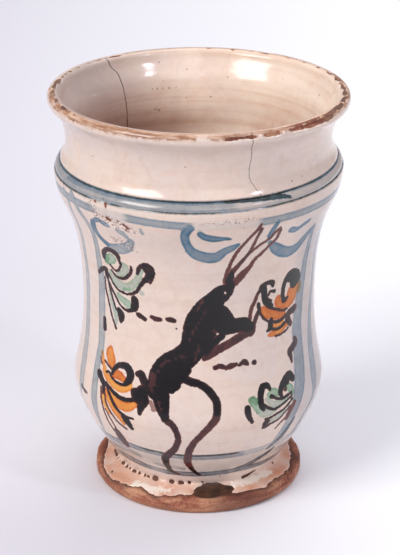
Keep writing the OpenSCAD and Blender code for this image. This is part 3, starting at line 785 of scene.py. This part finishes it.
for reach in outerGlazeLook["finer"]:
    points, fields, face = paintFields(outerGlaze)
    edge = np.full(len(points), farAway)
    for ink, (field, power) in fields.items():
        if ink != "blue" or reach > 1:
            edge = np.minimum(edge, np.abs(field))
    subdivideWhere(outerGlaze, edge < reach)

points, fields, face = paintFields(outerGlaze)
run = readValues(outerGlaze, "run")
x, y, z = points.T
angle = np.arctan2(x, -y)
degrees = np.degrees(angle)
addRings(fields, degrees, np.where(face, z, -50))
turn = np.interp(run, outerRun, lipTurnOf(outLine, offLip))
bare = bareField(points, run, springRun, turn)
swell = 0.5 * roughNoise(points, 14, 5) + 0.25 * roughNoise(points, 5, 6)
coat = outerGlazeLook["thickness"] + outerGlazeLook["sunk"] + outerGlazeLook["uneven"] * swell
full = np.where(z < footTop, outerGlazeLook["fullOnFoot"], outerGlazeLook["full"])
coat = coat * smoothStep(-0.5, full, bare) - outerGlazeLook["sunk"]
coat -= outerGlazeLook["atLip"] * smoothStep(*outerGlazeLook["thinning"], turn)
throwByHand(outerGlaze, points, np.where(face, coat - outerGlazeLook["thickness"], 0))
for ink, (field, power) in fields.items():
    writeValues(outerGlaze, ink + "Edge", field)
    writeValues(outerGlaze, ink + "Strength", power)
down = downFoot(z, run, springRun)
writeValues(outerGlaze, "poolEdge", footField(angle, down, poolSpots))
writeValues(outerGlaze, "wearEdge", lipField(degrees, turn, wearSpots))
writeValues(outerGlaze, "bareEdge", shallowed(z, bare))
writeValues(outerGlaze, "patchEdge", spotField(*onWall(points), patchSpots))
writeValues(outerGlaze, "lipTurn", np.clip(turn, -90, 180))
print("stage: outer glaze", len(outerGlaze.data.polygons), "faces")

inLine = insideLine(*innerGlazeLook["spacing"])
innerGlaze, inLine, innerRun = glazeShell("innerGlaze", inLine, wayOut(inLine), innerGlazeLook, False)
points = readPoints(innerGlaze)
run = readValues(innerGlaze, "run")
face = readValues(innerGlaze, "skin") > 0.9
turn = np.where(face, np.interp(run, innerRun, lipTurnOf(inLine, 176)), 176)
bare = np.where(points[:, 2] < wallMiddle, farAway, bareField(points, run, 0, turn))
coat = innerGlazeLook["thickness"] + innerGlazeLook["sunk"]
coat = coat * smoothStep(-0.5, innerGlazeLook["full"], bare) - innerGlazeLook["sunk"]
coat -= innerGlazeLook["atLip"] * (1 - smoothStep(*innerGlazeLook["thinning"], turn))
throwByHand(innerGlaze, points, np.where(face, coat - innerGlazeLook["thickness"], 0))
writeValues(innerGlaze, "bareEdge", bare)
writeValues(innerGlaze, "wearEdge", np.full(len(bare), farAway))
writeValues(innerGlaze, "lipTurn", np.clip(turn, -90, 180))
print("stage: inner glaze", len(innerGlaze.data.polygons), "faces")

underLine = joined(evened([(0, 1.6), (31.5, 1.6)], 3), evened([(31.5, 1.6), (34.5, 0)], 1),
                   evened([(34.5, 0), (43.5, 0)], 2))
clayLine = joined(underLine, outsideLine(*clayBodyLook["spacing"]),
                  insideLine(*clayBodyLook["insideSpacing"]))
skin = np.ones(len(clayLine))
clayBody = turnPiece("clayBody", clayLine, wayOut(clayLine), skin, False, clayBodyLook["steps"])
points = readPoints(clayBody)
x, y, z = points.T
run = readValues(clayBody, "run")
clayRun = runAlong(clayLine)
springRun = springOf(clayLine, clayRun)
bare = bareField(points, run, springRun, np.interp(run, clayRun, lipTurnOf(clayLine, offLip)))
writeValues(clayBody, "bareEdge", shallowed(z, bare))
down = downFoot(z, run, springRun)
writeValues(clayBody, "scorchEdge", footField(np.arctan2(x, -y), down, scorchSpots))
onFoot = smoothStep(0.3, 2.0, z) * (1 - smoothStep(8, 10, z)) * (np.hypot(x, y) > 38)
onLip = smoothStep(173, 175, z)
coarse, fine = clayBodyLook["grit"]
grit = coarse * roughNoise(points, 5, 11) + fine * roughNoise(points, 1.8, 12)
chip = clayBodyLook["chipDepth"] * (1 - smoothStep(-0.8, 0.1, bare))
worn = grit - clayBodyLook["wornFoot"]
throwByHand(clayBody, points, worn * onFoot + onLip * (0.1 * grit - 0.03 - chip))
print("stage: clay body", len(clayBody.data.polygons), "faces")

for piece in (outerGlaze, innerGlaze, clayBody):
    for label in helperLayers:
        piece.data.attributes.remove(piece.data.attributes[label])
    selectOnly(piece)
    bpy.ops.object.shade_smooth_by_angle(angle=math.radians(50))

# settings that many nodes share
smooth = {"interpolation_type": "SMOOTHSTEP"}
times = {"operation": "MULTIPLY"}
mixed = {"data_type": "RGBA"}
multiplied = {"data_type": "RGBA", "blend_type": "MULTIPLY"}

# fired red earthenware, turned and sponged: matt and sandy, paler where it wore, dark beside the glaze
redEarthenware = {
    "pale": "#bf8a6a", "base": "#96563f", "dark": "#5f3226", "fringe": "#4c281c",
    "scorch": "#24130b", "glassy": "#4a2c1a", "dirt": "#5f5448",
    "roughness": 0.7, "scorchRoughness": 0.4, "chipRoughness": 0.5, "ior": 1.5, "relief": 0.5,
}
reliefDepth = 0.0004


def newMaterial(name):
    material = bpy.data.materials.new(name)
    material.use_nodes = True
    material.node_tree.nodes.clear()
    add = partial(addNode, material.node_tree)
    coords = add("TexCoord").outputs["Object"]
    return material, add, coords, add("SeparateXYZ", coords).outputs


def clayLook(add, coords, x, z):
    stretched = add("Mapping", coords, Scale=(55, 55, 210))
    broad = add("TexNoise", stretched, 1, 5, 0.62)
    pores = add("TexNoise", coords, 900, 4, 0.7)
    grain = add("Math", pores, 0.45, broad, operation="MULTIPLY_ADD")
    colour = add("ValToRGB", grain, stops=[(0.56, redEarthenware["dark"]), (0.7, redEarthenware["base"]),
                                           (0.86, redEarthenware["pale"])])
    worn = add("MapRange", z, 0.0004, 0.0038, 0.6, 0)
    # the fire smoked the foot darker to the right of the front
    sideways = add("Math", add("Math", x, 0.019, operation="SUBTRACT"), operation="ABSOLUTE")
    smoked = add("MapRange", sideways, 0.006, 0.018, 0.6, 0, **smooth)
    smokedFoot = add("Math", smoked, add("MapRange", z, 0.02, 0.03, 1, 0), **times)
    # the chips at both ends of the lip hold old grey dirt
    dirt = add("MapRange", add("Math", x, operation="ABSOLUTE"), 0.047, 0.057, 0, 0.6, **smooth)
    bareEdge = add("Attribute", attribute_name="bareEdge").outputs["Fac"]
    edge = add("MapRange", bareEdge, -3, -0.2, 0, 0.85, **smooth)
    fringe = add("Math", edge, add("MapRange", z, 0.12, 0.15, 1, 0.25), **times)
    for share, tint in ((worn, "pale"), (smokedFoot, "dark"), (dirt, "dirt"), (fringe, "fringe")):
        colour = add("Mix", share, colour, redEarthenware[tint], **mixed)
    return colour, add("Bump", Strength=redEarthenware["relief"], Distance=reliefDepth, Height=grain)


def degreesRound(add, x, y):  # from the front, anticlockwise seen from above
    turned = add("Math", x, add("Math", y, -1, **times), operation="ARCTAN2")
    return add("Math", turned, operation="DEGREES")


clayMaterial, add, coords, (x, y, z) = newMaterial("turnedRedEarthenware")
colour, bump = clayLook(add, coords, x, z)
scorchEdge = add("Attribute", attribute_name="scorchEdge").outputs["Fac"]
scorch = add("MapRange", scorchEdge, -0.6, 0.5, 0.92, 0, **smooth)
mottle = add("TexNoise", coords, 330, 4, 0.6)
burnt = add("ValToRGB", mottle, stops=[(0.4, redEarthenware["scorch"]), (0.62, redEarthenware["glassy"])])
colour = add("Mix", scorch, colour, burnt, **mixed)
gloss = add("MapRange", scorch, 0, 1, redEarthenware["roughness"], redEarthenware["scorchRoughness"])
add("OutputMaterial", add("BsdfPrincipled", colour, Roughness=gloss, IOR=redEarthenware["ior"], Normal=bump))

# white tin glaze: milky, glossy and a little pink, as the red clay warms it from below
tinGlaze = {
    "warm": "#e6d2c4", "cool": "#e3d1c7", "pink": "#e6cfc1", "band": "#fbf8f6",
    "foot": "#d2906e", "pool": "#f1e6d8", "wash": "#bcc4c6", "paintedShadeRight": "#dce3ee",
    "speck": "#6a4a3c", "crack": "#3d2a24", "honey": "#d8a882", "worn": "#b98358", "wornDeep": "#8a5639",
    "grains": [(0.54, 0.58, "#8d5444", 0.75), (0.6, 0.63, "#3e3231", 0.9), (0.44, 0.38, "#efe6de", 0.8)],
    "roughness": 0.14, "ior": 1.46, "relief": 0.12, "paintedShade": 0.0, "marks": (),
    "cracked": {"heights": (150.5, 179), "degrees": (16, 26), "width": 0.16, "depth": 0.75,
                "path": ((0, 0.9), (0.15, 0.65), (0.3, 0.45), (0.62, 0.47), (0.85, 0.35), (1, 0.35))},
}
# inside it is creamier, with painted shade in mauve brown over its left side that turns to a painted lilac
# reflection near the lip, painted shade in the throat, and dark
# marks at the back: (degrees from the front, height in mm, radius in mm)
plainGlaze = dict(
    tinGlaze, band="#f5ece6", warm="#f5e1cf", cool="#f0dacb", pink="#f2d7c5",
    paintedShade=0.78, paintedShadeLow="#8a6258", paintedShadeHigh="#847880", paintedThroatShade="#b08c7c", mark="#5d3d32",
    marks=((-157, 162.9, 0.5), (-159.5, 162.8, 0.6), (-162.5, 162.6, 0.5), (-165.5, 162.5, 0.6),
           (-169, 162.6, 0.4), (-158.6, 153.2, 0.7), (-160.4, 152.6, 0.9), (-162, 173.4, 0.5),
           (174, 158, 0.6), (166, 167, 0.5)),
    cracked={"heights": (120, 179), "degrees": (-150, -135), "width": 0.3, "depth": 0.9,
             "path": ((0, 0.25), (0.5, 0.42), (0.67, 0.52), (0.78, 0.57), (0.88, 0.62), (0.93, 0.78),
                      (1, 0.85))})
# each ink: how soft and how ragged its edge is, how far it crept in mm, how streaky it is, its strength
# from the edge of a stroke inward (the washes gather at the edge, the thick brown is thin and red there),
# the strength at the right end of its tints, and the tints that it gives the glaze, from thin to thick
washRim = (-1.3, -0.3, 0.84, 1.24)
inkLooks = {
    "blue": {"soft": 0.38, "waver": 0.5, "crept": 0.12, "streaky": 0.22, "rim": washRim, "reach": 2,
             "tints": [(0, "#f4f8fb"), (0.2, "#b4c8d6"), (0.3, "#96b0c6"), (0.48, "#6695bb"),
                       (0.6, "#497c9e"), (0.75, "#41606f"), (1, "#2c3f48")]},
    "brown": {"soft": 0.15, "waver": 0.9, "crept": 0.16, "streaky": 0.12, "reach": 1,
              "rim": (-0.85, -0.15, 1, 0.74),
              "tints": [(0, "#a8756b"), (0.5, "#6a352e"), (0.75, "#3f2122"), (0.92, "#150d0f"),
                        (1, "#0b0709")]},
    "green": {"soft": 0.32, "waver": 1.2, "crept": 0.4, "streaky": 0.22, "rim": washRim, "reach": 1,
              "tints": [(0, "#ffffff"), (0.35, "#c6dfdd"), (0.6, "#9dcfb8"), (1, "#5c9a74")]},
    "orange": {"soft": 0.26, "waver": 1, "crept": 0.4, "streaky": 0.22, "rim": washRim, "reach": 1,
               "tints": [(0, "#ffffff"), (0.4, "#fcc766"), (0.75, "#f09a42"), (1, "#dc7c32")]},
}


def crackLine(add, coords, x, y, z, crack):
    # a hair crack through the coat: how far round it lies at each height is drawn as a curve
    low, high = crack["heights"]
    curve = add("FloatCurve", Value=add("MapRange", z, low * mm, high * mm))
    dots = curve.mapping.curves[0].points
    path = crack["path"]
    dots[0].location, dots[1].location = path[0], path[-1]
    for place in path[1:-1]:
        dots.new(*place)
    curve.mapping.update()
    target = add("MapRange", curve, 0, 1, *crack["degrees"])
    jittered = add("Math", target, add("TexNoise", coords, 400, 3))
    gap = add("Math", degreesRound(add, x, y), jittered, operation="SUBTRACT")
    line = add("MapRange", add("Math", gap, operation="ABSOLUTE"), crack["width"] * 0.5, crack["width"] * 1.5,
               crack["depth"], 0)
    return add("Math", line, add("Math", z, low * mm, operation="GREATER_THAN"), **times)


def footColours(add, coords, z, colour, look, streak):
    # on the foot the coat is thin and pink, rolled up white along its end, and pooled white beside the scorch
    footShare = add("MapRange", z, 0.007, 0.0125, 1, 0, **smooth)
    patchy = add("MapRange", add("TexNoise", coords, 100, 3), 0.35, 0.62, 1, 0.45)
    bareEdge = add("Attribute", attribute_name="bareEdge").outputs["Fac"]
    rolled = add("MapRange", bareEdge, 0.1, 1.1, 0.6, 0, **smooth)
    rolledLow = add("Math", rolled, add("MapRange", z, 0.0135, 0.0155, 1.3, 0), **times)
    torn = add("MapRange", add("TexNoise", coords, 300, 4, 0.65), 0.3, 0.7, -1.6, 1.6)
    poolEdge = add("Math", torn, add("Attribute", attribute_name="poolEdge").outputs["Fac"])
    pool = add("MapRange", poolEdge, -0.6, 0.8, 0.85, 0, **smooth)
    for share, tint in ((add("Math", footShare, patchy, **times), "foot"),
                        (add("Math", rolledLow, patchy, **times), "pool"), (pool, "pool")):
        colour = add("Mix", share, colour, look[tint], **mixed)
    # a thin grey wash between the two lines by the foot
    washed = add("Math", add("MapRange", z, 0.0145, 0.018, 0, 0.4), streak, **times)
    cloudy = add("Math", washed, add("MapRange", z, 0.027, 0.031, 2, 0), **times)
    return add("Mix", cloudy, colour, look["wash"], **multiplied)


def paintInk(add, z, colour, ink, look, waver, streak):
    edge = add("Attribute", attribute_name=ink + "Edge").outputs["Fac"]
    strength = add("Attribute", attribute_name=ink + "Strength").outputs["Fac"]
    crept = add("Math", edge, look["crept"], operation="SUBTRACT")
    edge = add("Math", crept, add("Math", waver, look["waver"], **times))
    cover = add("MapRange", edge, -look["soft"], look["soft"], 1, 0, **smooth)
    pooled = add("MapRange", streak, 0.3, 0.7, 1 - look["streaky"], 1 + look["streaky"])
    full = add("Math", strength, add("MapRange", edge, *look["rim"]), **times)
    amount = add("Math", full, pooled, **times)
    share = add("Math", amount, look["reach"], operation="DIVIDE")
    tint = add("ValToRGB", share, stops=look["tints"])
    if ink == "blue":  # greyer on the bead and by the foot
        high, low = add("MapRange", z, 0.1435, 0.146, 1, 0.8), add("MapRange", z, 0.031, 0.036, 0.5, 1.05)
        tint = add("HueSaturation", 0.5, add("Math", high, low, **times), 1, 1, tint)
    if ink != "brown":  # the washes let the glaze through, and the thick brown covers it
        return add("Mix", cover, colour, tint, **multiplied)
    cover = add("Math", cover, add("MapRange", strength, 0.2, 0.6, 0.45, 1), **times)
    return add("Mix", cover, colour, tint, **mixed)


def lipColours(add, coords, y, colour, look, waver):
    # over the crest of the lip the glaze is thin and the clay shows honey brown through it
    lipTurn = add("Attribute", attribute_name="lipTurn").outputs["Fac"]
    crest = add("MapRange", lipTurn, 20, 70, 0, 0.4, **smooth)
    overLip = add("Math", crest, add("MapRange", lipTurn, 105, 150, 1, 0, **smooth), **times)
    honey = add("Math", overLip, add("MapRange", y, -0.03, 0.02, 1, 0.3), **times)
    colour = add("Mix", honey, colour, look["honey"], **multiplied)
    wearEdge = add("Attribute", attribute_name="wearEdge").outputs["Fac"]
    wearEdge = add("Math", waver, 3, wearEdge, operation="MULTIPLY_ADD")
    wear = add("MapRange", wearEdge, -0.7, 0.5, 0.85, 0, **smooth)
    rubbed = add("TexNoise", add("Mapping", coords, Scale=(110, 110, 900)), 1, 3)
    wear = add("Math", wear, add("MapRange", rubbed, 0.36, 0.56, 0.3, 1), **times)
    tint = add("ValToRGB", rubbed, stops=[(0.42, look["worn"]), (0.66, look["wornDeep"])])
    return add("Mix", wear, colour, tint, **mixed)


def insideColours(add, x, y, z, colour, look):
    # painted shade: the left side of the inside is darkened in mauve brown, turning to a painted lilac
    # reflection near the lip
    side = add("MapRange", x, 0.002, -0.048, 0, look["paintedShade"], **smooth)
    paintedShadeShare = add("Math", side, add("MapRange", z, 0.15, 0.176, 1, 0.6, **smooth), **times)
    paintedShade = add("Mix", add("MapRange", z, 0.154, 0.17), look["paintedShadeLow"], look["paintedShadeHigh"], **mixed)
    colour = add("Mix", paintedShadeShare, colour, paintedShade, **mixed)
    # painted shade in the throat under the collar, on the left and middle of the back wall
    paintedThroatShade = add("MapRange", z, 0.146, 0.156, look["paintedShade"] * 0.75, 0, **smooth)
    paintedThroatShade = add("Math", paintedThroatShade, add("MapRange", x, -0.01, 0.02, 1, 0), **times)
    colour = add("Mix", paintedThroatShade, colour, look["paintedThroatShade"], **multiplied)
    place = add("CombineXYZ", degreesRound(add, x, y), z)
    inMm = add("VectorMath", place, (0.9, 1000, 0), operation="MULTIPLY")
    for degrees, level, radius in look["marks"]:
        away = add("VectorMath", inMm, (degrees * 0.9, level, 0), operation="DISTANCE")
        spot = add("MapRange", away, radius * 0.3, radius * 1.1, 0.5, 0)
        colour = add("Mix", spot, colour, look["mark"], **mixed)
    return colour


def glazeMaterial(name, look, inks):
    material, add, coords, (x, y, z) = newMaterial(name)
    clouds = add("TexNoise", coords, 45, 4, 0.5, Distortion=0.6)
    colour = add("ValToRGB", clouds, stops=[(0.35, look["cool"]), (0.55, look["warm"]), (0.7, look["pink"])])
    blush = add("TexNoise", coords, 140, 3, 0.6, Distortion=0.8)
    blush = add("ValToRGB", blush, stops=[(0.3, "#f8f4f1"), (0.55, "#ffffff"), (0.75, "#fdf4ee")])
    colour = add("Mix", 1, colour, blush, **multiplied)
    # painted shade: the right side of the coat, away from the main light, is made cooler and greyer
    side, low = add("MapRange", x, 0.037, 0.045, 0, 0.9, **smooth), add("MapRange", z, 0.12, 0.15, 1, 0)
    colour = add("Mix", add("Math", side, low, **times), colour, look["paintedShadeRight"], **multiplied)
    # iron specks and pinholes, a few tenths of a millimetre across
    cells = add("TexVoronoi", coords, 210)
    size = add("MapRange", add("SeparateColor", cells.outputs["Color"]), 0.6, 1, 0, 0.085)
    speck = add("Math", add("Math", cells, size, operation="LESS_THAN"), 0.75, **times)
    colour = add("Mix", speck, colour, look["speck"], **mixed)
    waver = add("MapRange", add("TexNoise", coords, 700, 3, 0.6), 0.3, 0.7, -0.22, 0.22)
    if inks:
        streak = add("TexNoise", coords, 260, 4, 0.65)
        colour = footColours(add, coords, z, colour, look, streak)
        for ink in inks:
            colour = paintInk(add, z, colour, ink, inkLooks[ink], waver, streak)
        crumbs = add("TexNoise", coords, 1100, 3, 0.7)
        patchEdge = add("Attribute", attribute_name="patchEdge").outputs["Fac"]
        inPatch = add("MapRange", patchEdge, -1.2, 0.8, 1, 0)
        for low, high, tint, most in look["grains"]:
            share = add("Math", add("MapRange", crumbs, low, high, 0, most), inPatch, **times)
            colour = add("Mix", share, colour, tint, **mixed)
    colour = lipColours(add, coords, y, colour, look, waver)
    colour = add("Mix", crackLine(add, coords, x, y, z, look["cracked"]), colour, look["crack"], **mixed)
    if look["paintedShade"]:
        colour = insideColours(add, x, y, z, colour, look)
    # throwing rings: faint level bands in the colour and in the relief
    bands = add("TexNoise", add("Mapping", coords, Scale=(12, 12, 300)), 1, 3)
    bands = add("ValToRGB", bands, stops=[(0.3, look["band"]), (0.5, "#ffffff"), (1, "#ffffff")])
    colour = add("Mix", 1, colour, bands, **multiplied)
    rings = add("TexNoise", add("Mapping", coords, Scale=(25, 25, 420)), 1, 2)
    relief = add("Math", add("TexNoise", coords, 320, 2), 0.35, rings, operation="MULTIPLY_ADD")
    bump = add("Bump", Strength=look["relief"], Distance=reliefDepth, Height=relief)
    glaze = add("BsdfPrincipled", colour, Roughness=look["roughness"], IOR=look["ior"], Normal=bump)
    colour, bump = clayLook(add, coords, x, z)
    clay = add("BsdfPrincipled", colour, Roughness=redEarthenware["chipRoughness"], IOR=redEarthenware["ior"],
               Normal=bump)
    bareEdge = add("Attribute", attribute_name="bareEdge").outputs["Fac"]
    bareEdge = add("Math", waver, 1.6, bareEdge, operation="MULTIPLY_ADD")
    bare = add("MapRange", bareEdge, -0.08, 0.08, 1, 0)
    add("OutputMaterial", add("MixShader", bare, glaze, clay))
    return material


clayBody.data.materials.append(clayMaterial)
outerGlaze.data.materials.append(glazeMaterial("paintedTinGlaze", tinGlaze, inkNames))
innerGlaze.data.materials.append(glazeMaterial("plainTinGlaze", plainGlaze, []))
for piece, node, slot in ((clayBody, "clay_body", "clay"), (outerGlaze, "outer_glaze", "outside_glaze"),
                          (innerGlaze, "inner_glaze", "inside_glaze")):
    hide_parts(node)
    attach(piece, "root")
print("stage: materials done")

studio = {
    "paperPaintedDim": "#dddae3", "paperPaintedLit": "#fdfdff", "paperPaintedShade": "#5d5b66",
    "world": "#ecebf8", "worldStrength": 0.3,
    "camera": (0.0007, -0.84638, 0.452775), "pitch": 23.07, "lens": 136.6, "sensor": 36,
    "lights": (  # name, place, target, size, watts, colour
        ("leftSoftbox", (-1.95, -1.5, 1.9), (0, 0, 0.1), (1.5, 1.2), 65, "#fffefb"),
        ("rightPanel", (1.05, -0.8, 1.15), (0, 0, 0.1), (0.18, 0.24), 4.2, "#f0f0ff"),
        ("frontFill", (0.65, -2.0, 1.5), (0, 0, 0.1), (1.6, 1.2), 12, "#fbfaff"),
        ("overheadLight", (0.45, 0.9, 1.9), (0.25, 0.5, 0), (1.8, 1.4), 21, "#ffffff")),
}
bpy.ops.mesh.primitive_plane_add(size=8, location=(0, 0, 0))
floor = bpy.context.object
floor.name = "floor"
paperMaterial, add, coords, (x, y, z) = newMaterial("palePaperSweep")
# painted light on the backdrop paper: graded from dimmer at the near left to palest towards the far right,
# where the studio light fell most
grade = add("MapRange", add("VectorMath", coords, (3, 0.3, 0), operation="DOT_PRODUCT"), -0.41, 0.59)
tone = add("ValToRGB", grade, stops=[(0, studio["paperPaintedDim"]), (1, studio["paperPaintedLit"])])
# painted shade on the table in front of the picture's edge, which keeps the black of the painting deep
tone = add("Mix", add("MapRange", y, -0.4, -0.13, 0.5, 0, **smooth), tone, studio["paperPaintedShade"], **mixed)
add("OutputMaterial", add("BsdfPrincipled", tone, Roughness=0.9))
floor.data.materials.append(paperMaterial)

world = bpy.data.worlds.new("studioAir")
world.use_nodes = True
bpy.context.scene.world = world
background = world.node_tree.nodes["Background"]
background.inputs["Color"].default_value = linear(studio["world"])
background.inputs["Strength"].default_value = studio["worldStrength"]

for name, place, target, size, power, colour in studio["lights"]:
    bpy.ops.object.light_add(type="AREA", location=place)
    lamp = bpy.context.object
    lamp.name = name
    lamp.data.shape = "RECTANGLE"
    lamp.data.size, lamp.data.size_y = size
    lamp.data.energy = power
    lamp.data.color = linear(colour)[:3]
    lamp.rotation_euler = (Vector(target) - Vector(place)).to_track_quat("-Z", "Y").to_euler()

camera = bpy.data.objects.new("photoCamera", bpy.data.cameras.new("photoCamera"))
bpy.context.scene.collection.objects.link(camera)
camera.location = studio["camera"]
camera.rotation_euler = (math.radians(90 - studio["pitch"]), 0, 0)
camera.data.lens = studio["lens"]
camera.data.sensor_width = studio["sensor"]
bpy.context.scene.camera = camera
bpy.context.scene.view_settings.view_transform = "Standard"
print("stage: studio done")
